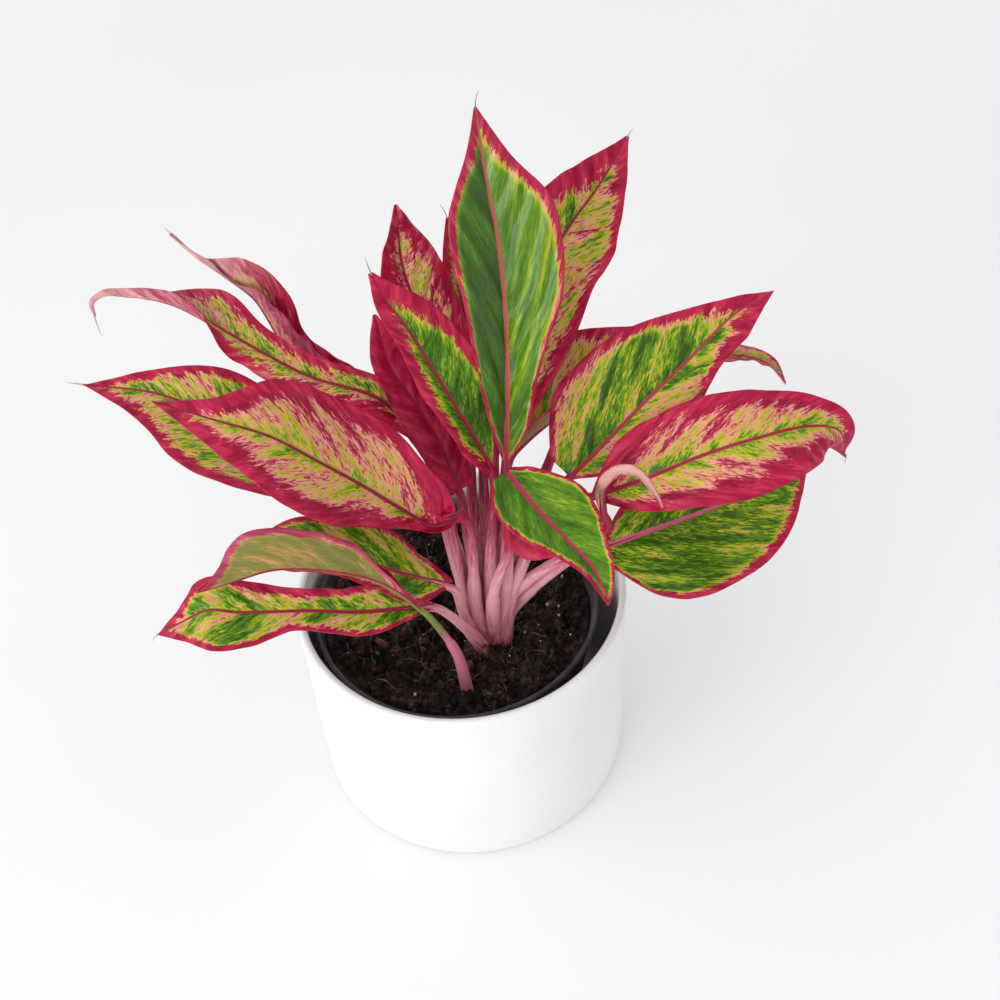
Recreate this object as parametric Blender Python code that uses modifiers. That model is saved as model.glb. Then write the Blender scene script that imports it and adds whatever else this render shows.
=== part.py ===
import bpy
import bmesh
import math
import numpy as np

# Potted chinese evergreen: lengths below are in millimetres, the scene is in metres.
MM = 0.001

POT_RADIUS = 70.0
POT_HEIGHT = 102.0
POT_WALL = 3.2
POT_FLOOR = 5.0
POT_FOOT_ROUND = 4.0

LINER_TOP = 93.0
LINER_TOP_RADIUS = 60.0
LINER_FOOT_RADIUS = 46.0
LINER_WALL = 1.2
LINER_LIP = 0.8
LINER_CENTRE = (-2.6, -0.6)
DRAIN_RADIUS = 4.0
DRAIN_RING = 30.0
DRAIN_COUNT = 6
DRAIN_SIDES = 12
DRAIN_CUT = 6.0

SOIL_LEVEL = 85.5
SOIL_SHOULDER = 6.0
SOIL_DROP = 1.5
GAP = 0.3
ROUND_STEPS = 48

BLADE_THICKNESS = 0.9
BLADE_ROWS = 13
BLADE_COLUMNS = 5
STALK_ROOT_RADIUS = 1.9
STALK_TOP_RADIUS = 1.4
STALK_POINTS = 9
STALK_GAP = 0.5
# A stalk with no points of its own: how far it has leant out and risen low down,
# and how far back along the midrib's own line it bends, as shares of its reach.
STALK_LEAN = 0.12
STALK_RISE = 0.38
STALK_BEND = 0.22
PATH_STEPS = 24

BLADE_COLOUR = (0.45, 0.05, 0.08)
STALK_COLOUR = (0.62, 0.22, 0.26)

# Each leaf: midrib path from base to tip, the way its upper face looks along the
# midrib, half widths left and right, and the fold and curl of both halves in degrees.
LEAVES = {
    "centre": dict(
        path=((22, -8, 180), (24, -1, 206), (25, 6, 232), (24, 13, 262), (21, 20, 286), (19, 26, 307)),
        face=((0, -1, 0.3), (0.05, -1, 0.35)),
        left=(1, 6.8, 10.8, 13.3, 15, 16.8, 15.3, 6.5, 0.3),
        right=(1, 8.2, 10.7, 14.8, 20.6, 22, 20, 9, 0.3),
        fold=((30, 25, 20, 15), (30, 25, 15, 5)), curl=((-10, -10), (-10, -15)),
        stalk=((16, -11.5, 130),),
        root=(12.2, -12.6)),
    "back_right": dict(
        path=((18, 3, 178), (24, 10, 192), (33, 25, 212), (41, 34, 237), (51, 42, 250), (62, 48, 262),
              (72, 52, 278)),
        face=((0.1, -0.8, 0.7), (0.1, -0.8, 0.7)),
        left=(3, 6, 10, 14, 17, 12, 0.3), right=(5, 10, 15, 18, 19, 19, 10.5, 0.3),
        fold=((10, 10), (15, 5)), curl=((0, 0), (0, 10)),
        stalk=((16.3, -2, 112), (17.2, 2.5, 150)),
        root=(14.3, -4.2)),
    "back_left": dict(
        path=((9, 6, 186), (1, 16, 206), (-6, 27, 224), (-11, 34, 242), (-11, 38, 265)),
        face=((0.35, -0.9, 0.5), (0.35, -0.9, 0.5)),
        left=(1, 9, 11, 11, 10, 7, 0.4), right=(1, 12, 15, 16, 15, 11, 0.4),
        fold=((5, 10, 15), (15, 30, 40)), curl=((0, 0), (-20, -60)),
        stalk=((7.5, -4.5, 130),),
        root=(8, -8.4)),
    "left_inner": dict(
        path=((17, -10, 179), (8, -8, 202), (-1, -5, 223), (-9, 0, 239), (-16, 5, 249), (-20, 8, 258)),
        face=((0.6, -0.8, 0.5), (0.5, -0.9, 0.5)),
        left=(3, 8, 9, 9, 8, 6, 0.4), right=(0.8, 4.5, 8.5, 12, 13, 9, 0.4),
        fold=((15, 10), (15, 10)), curl=((0, 0), (0, 0)),
        stalk=((13.5, -17, 130),),
        root=(12.2, -16.8), hold=(0.6, -0.8, -2)),
    "left_red": dict(
        path=((4, -9, 168), (-2, -4, 188), (-10, 2, 204), (-18, 7, 218), (-21, 11, 238)),
        face=((0.5, -0.8, 0.3), (0.5, -0.8, 0.3)),
        left=(4, 8, 9, 9, 7, 5, 0.4), right=(6, 11, 12, 11, 9, 5, 0.4),
        fold=((0, 0), (0, 0)), curl=((0, 0), (0, 0)),
        stalk=((6.5, -12.5, 125),),
        root=(8, -12.6)),
    "back_centre": dict(
        path=((14, 12, 184), (12, 26, 206), (9, 40, 224), (7, 50, 238), (6, 54, 248)),
        face=((0, -0.8, 0.6), (0, -0.8, 0.6)),
        left=(1, 6, 8, 8, 6, 4, 0.4), right=(1, 8, 10, 10, 8, 5, 0.4),
        fold=((10, 10), (10, 10)), curl=((0, 0), (0, 0)),
        stalk=((12.5, -1.5, 130), (12.8, 4, 156)),
        root=(12.2, -8.4)),
    "far_back": dict(
        path=((-10, 16, 178), (-24, 22, 186), (-40, 30, 189), (-59, 43, 197), (-67, 53, 207),
              (-72, 59, 214), (-78, 63, 217), (-86, 69, 220), (-95, 75, 224), (-105, 83, 230)),
        face=((0.3, -0.2, 1), (0.2, -0.3, 1), (0.1, -0.4, 1)),
        left=(1, 6, 8, 9, 11.5, 8, 2, 4.5, 0.4), right=(1, 8, 10, 10, 10, 14, 11, 1.2, 0.4),
        fold=((30, 70, 95, 95, 95, 95, 70, 80, 60), (50, 60, 50, 40, 60, 60, 60)), curl=((0, 0), (0, 0)),
        stalk=((1, -4, 120), (-4, 6, 150)),
        root=(3.8, -8.4)),
    "far_front": dict(
        path=((-9, 6, 180), (-24, 12, 198), (-49, 19, 205), (-68, 27, 213), (-94, 38, 226),
              (-106, 43, 228), (-117, 46, 228), (-126, 49, 227), (-132, 50, 223), (-133, 50, 217)),
        face=((0.2, -0.3, 1), (0.2, -0.3, 1), (0, -0.4, 1)),
        left=(1, 8, 11, 12, 10, 7, 5, 3, 0.3), right=(1, 7, 8, 8, 9, 13, 3, 1.5, 0.3),
        fold=((10, 20, 30, 30, 60, 70, 70), (20, 20, 25, 30)),
        curl=((-60, -110, -130, -120, 60, 100, 90), (0, 0)),
        stalk=((1, -9.5, 118), (-4, -2, 150)),
        root=(3.8, -12.6), hold=(1, -0.5, -1.5)),
    "left_low": dict(
        path=((-2, -14, 166), (-20, -9, 178), (-48, -1, 185), (-78, 8, 193), (-106, 16, 204),
              (-135, 22, 206)),
        face=((0, -0.4, 1), (0, -0.4, 1)),
        left=(1, 14, 21, 24.5, 23, 12, 0.3), right=(1, 9, 12, 16, 18, 8, 0.3),
        fold=((5, 5), (20, 15)), curl=((0, 0), (0, 0)),
        stalk=((1.5, -15.5, 115),),
        root=(3.8, -16.8), hold=(1.5, -0.3, -1.5)),
    "left_broad": dict(
        path=((5, -20, 168), (-6, -24, 165), (-18, -27, 179), (-30, -30, 195), (-42, -35, 212),
              (-56, -38, 228), (-73, -38, 237), (-92, -34, 243)),
        face=((0.3, -0.5, 1), (0.3, -0.5, 1)),
        left=(2, 4, 11, 18, 20, 16.5, 8, 0.3), right=(7, 16, 20, 24, 24, 20, 7.5, 0.3),
        fold=((-5, -5), (75, 60, 30, 10, 5, 5, 5)), curl=((0, 0), (40, 20, 10, 0, 0, 0, 0)),
        stalk=((6.5, -20.6, 112), (7, -20.5, 146)),
        root=(8, -21), hold=(1.8, 0.4, -1.6)),
    "low_upper": dict(
        path=((-2, -27, 134), (-20, -34, 151), (-37, -38, 166), (-55, -38, 172), (-72, -34, 166),
              (-85, -30, 154)),
        face=((0, -0.4, 1), (0, -0.4, 1)),
        left=(1, 7, 6, 6, 7, 5, 0.4), right=(1, 12, 15, 15, 12, 7, 0.4),
        fold=((-10, -10), (0, 0)), curl=((0, 0), (0, 0)),
        stalk=((2.2, -22.5, 106),),
        root=(3.8, -21), hold=(1.2, 0.3, -1.6)),
    "low_folded": dict(
        path=((-13, -45, 142), (-18, -48, 154), (-27, -51, 167), (-41, -54, 177), (-60, -54, 180),
              (-77, -52, 173), (-92, -50, 166)),
        face=((0, -0.4, 1), (0, -0.4, 1)),
        left=(0.5, 2, 7, 15, 18, 9, 0.4), right=(0.5, 2, 6, 10, 9, 5, 0.4),
        fold=((60, 95, 95, 95, 90), (20, 20, 10)), curl=((0, 0), (0, 0)),
        stalk=((-1.7, -41, 107), (-6.4, -42, 123)),
        root=(0.6, -40), hold=(1.2, 0.3, -2.2)),
    "low_front": dict(
        path=((-9, -36, 133), (-22, -44, 142), (-37, -50, 149), (-53, -53, 155), (-67, -54, 157),
              (-79, -54, 158), (-89, -53, 159), (-99, -51, 152), (-112, -49, 142)),
        face=((0, -0.5, 1), (0, -0.5, 1), (-0.4, -0.5, 1)),
        left=(1, 5, 9, 8.5, 7.5, 13, 15, 8, 0.3), right=(1, 6, 8, 8.5, 8.5, 11, 12, 5, 0.3),
        fold=((0, 5), (20, 30, 10, 10)), curl=((0, 0), (0, 0)),
        stalk=((4, -26.5, 102), (-2, -31, 118)),
        root=(5, -25.5)),
    "front": dict(
        path=((22, -24, 191), (27, -32, 189), (35, -41, 183), (43, -48, 177), (50, -53, 170),
              (54, -56, 161), (56, -57, 152)),
        face=((-0.1, -0.7, 1), (0, -0.8, 0.9), (0.2, -1, 0.5)),
        left=(3, 12, 17, 15.5, 9.5, 5, 0.3), right=(7, 13, 12, 8, 5, 3, 0.3),
        fold=((-5, 5, 15), (10, 10, 0)), curl=((0, 0), (0, 0)),
        stalk=((19.5, -19.5, 130), (21, -15.5, 160)),
        root=(16.4, -21), hold=(-0.5, 1.5, -2)),
    "front_under": dict(
        path=((21, -24, 165), (24, -29, 161), (29, -34, 161), (35, -38, 164), (42, -42, 168)),
        face=((0, -0.9, 0.6), (0, -0.9, 0.6)),
        left=(1, 4, 5, 5, 4, 3, 0.4), right=(1, 4, 5, 5, 4, 3, 0.4),
        fold=((0, 0), (0, 0)), curl=((0, 0), (0, 0)),
        stalk=((14, -25, 125), (21, -23.5, 148)),
        root=(12.2, -21), hold=(0, 1.5, -2)),
    "right_upper": dict(
        path=((46, -8, 170), (58, -5, 182), (74, 2, 196), (92, 10, 210), (108, 19, 221), (124, 26, 226)),
        face=((-0.2, -0.7, 0.8), (-0.2, -0.7, 0.8)),
        left=(1, 20, 26, 25, 18, 7, 0.3), right=(1, 12, 16, 16, 11, 9, 0.3),
        fold=((5, 5), (10, 10)), curl=((0, 0), (0, 0)),
        root=(16.4, -12.6)),
    "right_rear": dict(
        path=((22, 4, 170), (33, 13, 174), (44, 22, 176), (57, 33, 181), (71, 44, 186), (84, 54, 191)),
        face=((-0.2, -0.7, 0.8), (-0.2, -0.7, 0.8)),
        left=(5, 12, 18, 23, 24, 18, 10, 0.4), right=(4, 8, 12, 15, 16, 12, 6, 0.4),
        fold=((15, 15), (85, 85)), curl=((0, 0), (20, 20)),
        root=(16.4, -8.4), stalk=((17.5, -7, 110), (20.8, -2.5, 145)), hold=(0.2, -1.2, -1.8)),
    "right_broad": dict(
        path=((53, -21, 172), (72, -27, 186), (92, -29, 198), (112, -27, 203), (130, -22, 202),
              (143, -18, 195), (148, -16, 180)),
        face=((-0.2, -0.7, 1), (-0.1, -0.6, 1), (0.3, -0.6, 0.8)),
        left=(1, 17, 20, 19, 15, 8, 0.4), right=(1, 11, 17, 20, 17, 11, 0.4),
        fold=((5, 5), (5, -10)), curl=((0, 0), (0, -10)),
        root=(20.6, -21)),
    "right_low": dict(
        path=((57, -14, 135), (76, -11, 140), (96, -6, 143), (114, 0, 145), (130, 6, 147),
              (144, 12, 146)),
        face=((0, -0.5, 1), (0, -0.5, 1)),
        left=(1, 14, 18, 18, 14, 9, 0.4), right=(6, 25, 32, 31, 27, 17, 0.4),
        fold=((5, 5), (0, 0)), curl=((0, 0), (0, 0)),
        root=(20.6, -12.6)),
    "far_curl": dict(
        path=((62, 34, 170), (84, 52, 168), (108, 68, 162), (129, 80, 151), (144, 87, 139),
              (154, 91, 124)),
        face=((0, -0.5, 1), (0.3, -0.5, 1)),
        left=(1, 6, 7, 7, 5, 4, 0.4), right=(1, 6, 7, 7, 5, 4, 0.4),
        fold=((40, 40), (40, 40)), curl=((0, 0), (0, 0)),
        root=(20.6, -8.4)),
    "strap": dict(
        path=((56, -25, 168), (55, -31, 186), (59, -36, 199), (66, -40, 203), (72, -43, 197),
              (76, -44, 188)),
        face=((-0.5, -0.6, 0.6), (-0.3, -0.6, 1), (0.5, -0.6, 0.6)),
        left=(1, 2.4, 2.4, 2.2, 1.8, 1.2, 0.4), right=(1, 2.4, 2.4, 2.2, 1.8, 1.2, 0.4),
        fold=((0, 0), (0, 0)), curl=((0, 0), (0, 0)),
        root=(20.6, -16.8)),
}


def spline(points, count):
    # Catmull-Rom curve through the points, resampled at equal steps of length.
    p = np.array(points, float)
    p = np.vstack([2 * p[0] - p[1], p, 2 * p[-1] - p[-2]])
    t = np.linspace(0, 1, PATH_STEPS, endpoint=False)[:, None]
    runs = []
    for i in range(1, len(p) - 2):
        a, b, c, d = p[i - 1], p[i], p[i + 1], p[i + 2]
        runs.append(b + 0.5 * t * (c - a + t * (2 * a - 5 * b + 4 * c - d + t * (3 * (b - c) + d - a))))
    fine = np.vstack(runs + [p[-2:-1]])
    length = np.concatenate([[0], np.cumsum(np.linalg.norm(np.diff(fine, axis=0), axis=1))])
    at = np.linspace(0, length[-1], count)
    return np.stack([np.interp(at, length, fine[:, k]) for k in range(3)], 1)


def spread(values, u):
    # Values at equal stations along the leaf, eased between stations.
    v = np.array(values, float)
    if v.ndim == 1:
        v = v[:, None]
    if len(v) == 1:
        v = np.vstack([v, v])
    v = np.vstack([2 * v[0] - v[1], v, 2 * v[-1] - v[-2]])
    x = np.clip(u, 0, 1) * (len(v) - 3)
    i = np.minimum(x.astype(int), len(v) - 4)
    t = (x - i)[:, None]
    a, b, c, d = v[i], v[i + 1], v[i + 2], v[i + 3]
    return b + 0.5 * t * (c - a + t * (2 * a - 5 * b + 4 * c - d + t * (3 * (b - c) + d - a)))


def unit(v):
    return v / np.maximum(np.linalg.norm(v, axis=-1, keepdims=True), 1e-9)


def blade_grid(leaf, rows, columns):
    # Rows run from base to tip, columns from the left margin to the right one.
    u = np.linspace(0, 1, rows)
    path = spline(leaf["path"], rows)
    tangent = unit(np.gradient(path, axis=0))
    face = spread(leaf["face"], u)
    face = unit(face - (face * tangent).sum(1, keepdims=True) * tangent)
    side = np.cross(tangent, face)
    grid = np.zeros((rows, columns, 3))
    middle = columns // 2
    fine = PATH_STEPS
    s = (np.arange(fine) + 0.5) / fine
    for k, sign in ((0, -1.0), (1, 1.0)):
        width = np.maximum(spread(leaf["left" if k == 0 else "right"], u), 0.4)
        angle = np.radians(spread(leaf["fold"][k], u) + spread(leaf["curl"][k], u) * s[None, :])
        out = np.concatenate([np.zeros((rows, 1)), np.cumsum(np.cos(angle), 1) / fine], 1) * width
        up = np.concatenate([np.zeros((rows, 1)), np.cumsum(np.sin(angle), 1) / fine], 1) * width
        for j in range(middle + 1):
            m = round(j / middle * fine)
            column = middle + int(sign) * j
            grid[:, column] = path + sign * out[:, m:m + 1] * side + up[:, m:m + 1] * face
    return grid


def stalk_path(leaf, count):
    base = spline(leaf["path"], 30)
    lead = unit(base[1] - base[0])
    end = base[0] + leaf.get("hold", -lead * STALK_GAP)
    root = np.array((*leaf["root"], SOIL_LEVEL + GAP))
    if "stalk" in leaf:
        points = [root, *[np.array(p, float) for p in leaf["stalk"]], end]
    else:
        rise = end[2] - root[2]
        reach = end - root
        low = root + reach * (STALK_LEAN, STALK_LEAN, STALK_RISE)
        points = [root, low, end - lead * STALK_BEND * rise, end]
    return spline(points, count)


def material(name, colour, roughness):
    m = bpy.data.materials.new(name)
    m.use_nodes = True
    shader = m.node_tree.nodes["Principled BSDF"]
    shader.inputs["Base Color"].default_value = (*colour, 1.0)
    shader.inputs["Roughness"].default_value = roughness
    return m


def add_object(name, data, home, mat):
    thing = bpy.data.objects.new(name, data)
    home.objects.link(thing)
    thing.data.materials.append(mat)
    return thing


def add_blade(name, leaf, home, mat):
    # A flat grid laid on the leaf surface, then given its thickness.
    columns = BLADE_COLUMNS
    grid = blade_grid(leaf, BLADE_ROWS, columns) * MM
    mesh = bpy.data.meshes.new(name)
    bm = bmesh.new()
    bmesh.ops.create_grid(bm, x_segments=columns - 1, y_segments=BLADE_ROWS - 1, size=0.5)
    bm.verts.ensure_lookup_table()
    for v in bm.verts:
        row = round((v.co.y + 0.5) * (BLADE_ROWS - 1))
        column = round((v.co.x + 0.5) * (columns - 1))
        v.co = grid[row, column]
    bm.to_mesh(mesh)
    bm.free()
    blade = add_object(name, mesh, home, mat)
    skin = blade.modifiers.new("thickness", "SOLIDIFY")
    skin.thickness = BLADE_THICKNESS * MM
    skin.offset = 0.0
    skin.use_even_offset = False
    return blade


def add_stalk(name, leaf, home, mat):
    # A round petiole that narrows from the soil to its blade.
    points = stalk_path(leaf, STALK_POINTS) * MM
    curve = bpy.data.curves.new(name, "CURVE")
    curve.dimensions = "3D"
    curve.bevel_depth = 1.0 * MM
    curve.bevel_resolution = 2
    curve.use_fill_caps = True
    line = curve.splines.new("POLY")
    line.points.add(len(points) - 1)
    for i, p in enumerate(points):
        t = i / (len(points) - 1)
        line.points[i].co = (*p, 1.0)
        line.points[i].radius = STALK_ROOT_RADIUS + (STALK_TOP_RADIUS - STALK_ROOT_RADIUS) * t
    return add_object(name, curve, home, mat)


def add_round(name, profile, home, mat, centre=(0.0, 0.0)):
    # The outline (radius, height) starts and ends on the axis and is turned about it.
    mesh = bpy.data.meshes.new(name)
    points = [(r * MM, 0.0, z * MM) for r, z in profile]
    mesh.from_pydata(points, [(i, i + 1) for i in range(len(points) - 1)], [])
    thing = add_object(name, mesh, home, mat)
    thing.location = (centre[0] * MM, centre[1] * MM, 0.0)
    turn = thing.modifiers.new("turn", "SCREW")
    turn.axis = "Z"
    turn.angle = math.tau
    turn.steps = ROUND_STEPS
    turn.render_steps = ROUND_STEPS
    turn.use_merge_vertices = True
    turn.merge_threshold = 0.00001
    turn.use_smooth_shade = True
    return thing


def arc(radius, centre, start, end, count):
    # Points along a circle between two angles in degrees.
    angles = [math.radians(start + (end - start) * i / count) for i in range(count + 1)]
    return [(centre[0] + radius * math.cos(a), centre[1] + radius * math.sin(a)) for a in angles]


def pot_profile():
    # Up the inside, over a half-round rim, down the outside and under the foot.
    lip = POT_WALL / 2
    inner = POT_RADIUS - POT_WALL
    foot = POT_FOOT_ROUND
    inside = [(0.0, POT_FLOOR), (inner - foot, POT_FLOOR), (inner, POT_FLOOR + foot)]
    rim = arc(lip, (POT_RADIUS - lip, POT_HEIGHT - lip), 180, 0, 6)
    outside = arc(foot, (POT_RADIUS - foot, foot), 0, -90, 4)
    return inside + rim + outside + [(0.0, 0.0)]


def liner_profile():
    # A thin tapered pot with a turned-out lip, standing on the outer pot's floor.
    low = POT_FLOOR + GAP
    top = LINER_TOP
    wall = LINER_WALL
    inside = [(0.0, low + wall), (LINER_FOOT_RADIUS - wall, low + wall), (LINER_TOP_RADIUS - wall, top)]
    lip = [(LINER_TOP_RADIUS + LINER_LIP, top), (LINER_TOP_RADIUS + LINER_LIP, top - 2 * wall)]
    under = [(LINER_TOP_RADIUS, top - 2 * wall)]
    return inside + lip + under + [(LINER_FOOT_RADIUS, low), (0.0, low)]


def soil_profile():
    # The soil fills the liner and rises a little towards its middle.
    low = POT_FLOOR + 2 * GAP + LINER_WALL
    slope = (LINER_TOP_RADIUS - LINER_FOOT_RADIUS) / (LINER_TOP - POT_FLOOR)
    foot = LINER_FOOT_RADIUS - LINER_WALL - 2 * GAP
    edge = foot + slope * (SOIL_LEVEL - low) - GAP
    return [(0.0, SOIL_LEVEL), (edge - SOIL_SHOULDER, SOIL_LEVEL), (edge, SOIL_LEVEL - SOIL_DROP), (foot, low), (0.0, low)]


def cut_drain_holes(liner, cutters):
    # A ring of round holes through the liner's floor.
    mesh = bpy.data.meshes.new("drain_holes")
    bm = bmesh.new()
    for i in range(DRAIN_COUNT):
        a = math.tau * i / DRAIN_COUNT
        hole = bmesh.ops.create_cone(bm, cap_ends=True, segments=DRAIN_SIDES, radius1=DRAIN_RADIUS * MM,
                                     radius2=DRAIN_RADIUS * MM, depth=DRAIN_CUT * MM)
        shift = (DRAIN_RING * MM * math.cos(a), DRAIN_RING * MM * math.sin(a), (POT_FLOOR + 1.0) * MM)
        bmesh.ops.translate(bm, verts=hole["verts"], vec=shift)
    bm.to_mesh(mesh)
    bm.free()
    cutter = bpy.data.objects.new("drain_holes", mesh)
    cutters.objects.link(cutter)
    cutter.location = liner.location
    cutter.hide_render = True
    cutter.display_type = "WIRE"
    cut = liner.modifiers.new("drain holes", "BOOLEAN")
    cut.operation = "DIFFERENCE"
    cut.solver = "EXACT"
    cut.object = cutter


def main():
    for thing in list(bpy.data.objects):
        bpy.data.objects.remove(thing)
    home = bpy.data.collections.new("potted_chinese_evergreen")
    cutters = bpy.data.collections.new("cutters")
    bpy.context.scene.collection.children.link(home)
    bpy.context.scene.collection.children.link(cutters)

    glaze = material("outer_pot", (0.86, 0.86, 0.87), 0.45)
    plastic = material("nursery_pot", (0.03, 0.03, 0.035), 0.5)
    peat = material("soil", (0.03, 0.018, 0.012), 0.95)
    add_round("outer_pot", pot_profile(), home, glaze)
    liner = add_round("nursery_pot", liner_profile(), home, plastic, LINER_CENTRE)
    cut_drain_holes(liner, cutters)
    add_round("soil", soil_profile(), home, peat, LINER_CENTRE)

    for name, leaf in LEAVES.items():
        blade = material("blade_" + name, BLADE_COLOUR, 0.4)
        stalk = material("petiole_" + name, STALK_COLOUR, 0.45)
        add_blade("blade_" + name, leaf, home, blade)
        add_stalk("petiole_" + name, leaf, home, stalk)


if __name__ == "__main__":
    main()
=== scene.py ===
import bpy
import numpy as np
from mathutils import Matrix, Vector


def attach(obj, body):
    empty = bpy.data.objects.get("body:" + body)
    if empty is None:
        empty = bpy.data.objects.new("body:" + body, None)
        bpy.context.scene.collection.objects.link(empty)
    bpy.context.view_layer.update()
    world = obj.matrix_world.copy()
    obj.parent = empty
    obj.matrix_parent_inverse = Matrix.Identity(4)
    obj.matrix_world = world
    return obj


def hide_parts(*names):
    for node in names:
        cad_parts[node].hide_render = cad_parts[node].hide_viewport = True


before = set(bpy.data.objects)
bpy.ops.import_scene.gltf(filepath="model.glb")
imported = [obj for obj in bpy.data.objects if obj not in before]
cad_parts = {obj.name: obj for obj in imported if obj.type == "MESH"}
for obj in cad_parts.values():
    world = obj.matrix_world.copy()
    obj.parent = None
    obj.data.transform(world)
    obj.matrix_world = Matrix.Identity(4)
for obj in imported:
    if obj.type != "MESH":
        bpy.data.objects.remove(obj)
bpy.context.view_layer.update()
mm = 0.001
scene = bpy.context.scene


def linearColour(code):
    # sRGB hex to linear light: v/12.92 in the dark toe, ((v + 0.055)/1.055)^2.4 above it
    v = np.array([int(code[i:i + 2], 16) for i in (1, 3, 5)]) / 255
    v = np.where(v <= 0.04045, v / 12.92, ((v + 0.055) / 1.055) ** 2.4)
    return (float(v[0]), float(v[1]), float(v[2]), 1.0)


def addNode(tree, kind, settings=None, sockets=None):
    # one node, its settings, and for each socket a fixed value or the output that feeds it
    node = tree.nodes.new("ShaderNode" + kind)
    for name, value in (settings or {}).items():
        setattr(node, name, value)
    for key, value in (sockets or {}).items():
        if isinstance(value, bpy.types.NodeSocket):
            tree.links.new(value, node.inputs[key])
        else:
            node.inputs[key].default_value = value
    return node


def newMaterial(name, sockets):
    material = bpy.data.materials.new(name)
    material.use_nodes = True
    shader = material.node_tree.nodes["Principled BSDF"]
    for key, value in sockets.items():
        shader.inputs[key].default_value = value
    return material, material.node_tree, shader


def rampOf(tree, factor, stops):
    # a colour ramp fed by factor, its stops given as (place, hex colour)
    node = addNode(tree, "ValToRGB", None, {"Fac": factor})
    band = node.color_ramp
    while len(band.elements) > 1:
        band.elements.remove(band.elements[0])
    band.elements[0].position = stops[0][0]
    band.elements[0].color = linearColour(stops[0][1])
    for place, code in stops[1:]:
        band.elements.new(place).color = linearColour(code)
    return node.outputs["Color"]


def grained(name, sockets, grain, stops, relief=None):
    # a material whose colour follows one noise (scale, detail, roughness) in the piece's own
    # space; relief is a second noise, then the strength and height of the bump that it raises
    material, tree, shader = newMaterial(name, sockets)
    place = addNode(tree, "TexCoord").outputs["Object"]
    keys = ("Scale", "Detail", "Roughness")
    cloud = addNode(tree, "TexNoise", None, {"Vector": place, **dict(zip(keys, grain))})
    tree.links.new(rampOf(tree, cloud.outputs["Fac"], stops), shader.inputs["Base Color"])
    if relief:
        grit = addNode(tree, "TexNoise", None, {"Vector": place, **dict(zip(keys, relief))})
        bump = addNode(tree, "Bump", None, {
            "Height": grit.outputs["Fac"], "Strength": relief[3], "Distance": relief[4]})
        tree.links.new(bump.outputs["Normal"], shader.inputs["Normal"])
    return material


def gridFaces(rows, columns, closed=False):
    # four corners of each cell of a rows x columns grid; closed joins the last column to the first
    a = np.arange(rows * columns).reshape(rows, columns)
    b = np.roll(a, -1, 1)
    if not closed:
        a, b = a[:, :-1], b[:, :-1]
    return np.stack([a[:-1], b[:-1], b[1:], a[1:]], -1).reshape(-1, 4).tolist()


def closedFaces(rows, sides):
    # rings joined into a tube, whose end rings close on the two points that follow the grid
    around = np.arange(sides)
    after = (around + 1) % sides
    last = (rows - 1) * sides
    first = np.stack([np.full(sides, rows * sides), after, around], 1)
    end = np.stack([np.full(sides, rows * sides + 1), last + around, last + after], 1)
    return gridFaces(rows, sides, True) + first.tolist() + end.tolist()


def addPiece(name, points, faces, materials, fields=None, smooth=True):
    # points in metres; fields are named numbers or triples, one for each point
    mesh = bpy.data.meshes.new(name)
    mesh.from_pydata(points.reshape(-1, 3), [], faces)
    for key, value in (fields or {}).items():
        value = np.asarray(value, np.float32)
        wide = value.ndim > 1
        field = mesh.attributes.new(key, "FLOAT_VECTOR" if wide else "FLOAT", "POINT")
        field.data.foreach_set("vector" if wide else "value", value.ravel())
    mesh.shade_smooth() if smooth else mesh.shade_flat()
    for material in materials:
        mesh.materials.append(material)
    piece = bpy.data.objects.new(name, mesh)
    scene.collection.objects.link(piece)
    return piece


def settle(piece, node):
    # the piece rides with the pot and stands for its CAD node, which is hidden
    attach(piece, "root")
    if node:
        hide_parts(node)


def unit(v):
    return v / np.maximum(np.linalg.norm(v, axis=-1, keepdims=True), 1e-9)


def eased(values, t):
    # Catmull-Rom through values at whole numbers, read at t (0 to count - 1)
    v = np.array(values, float)
    v = v[:, None] if v.ndim == 1 else v
    v = np.vstack([2 * v[0] - v[1], v, 2 * v[-1] - v[-2]])
    i = np.clip(t.astype(int), 0, len(v) - 4)
    f = (t - i)[:, None]
    a, b, c, d = v[i], v[i + 1], v[i + 2], v[i + 3]
    return b + 0.5 * f * (c - a + f * (2 * a - 5 * b + 4 * c - d + f * (3 * (b - c) + d - a)))


def evenPath(points, count):
    # the curve through the points, read again at equal steps of its length
    fine = eased(points, np.linspace(0, len(points) - 1, 40 * len(points)))
    length = np.concatenate([[0], np.cumsum(np.linalg.norm(np.diff(fine, axis=0), axis=1))])
    at = np.linspace(0, length[-1], count)
    return np.stack([np.interp(at, length, fine[:, k]) for k in range(3)], 1), length[-1]


def stationed(values, u):
    # values at equal stations along a leaf, read at u (0 to 1); one value holds all along
    values = values if len(values) > 1 else values * 2
    return eased(values, np.clip(u, 0, 1) * (len(values) - 1))


def wobble(rng, points, size, waves=24):
    # smooth noise: the mean of cosines that cross the points in random directions,
    # their wavelengths spread about the given size
    way = unit(rng.normal(size=(waves, points.shape[-1])))
    pitch = 2 * np.pi / (size * rng.uniform(0.6, 1.7, (waves, 1)))
    phase = rng.uniform(0, 2 * np.pi, waves)
    return np.cos(points @ (way * pitch).T + phase).sum(-1) / np.sqrt(waves / 2)


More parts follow.
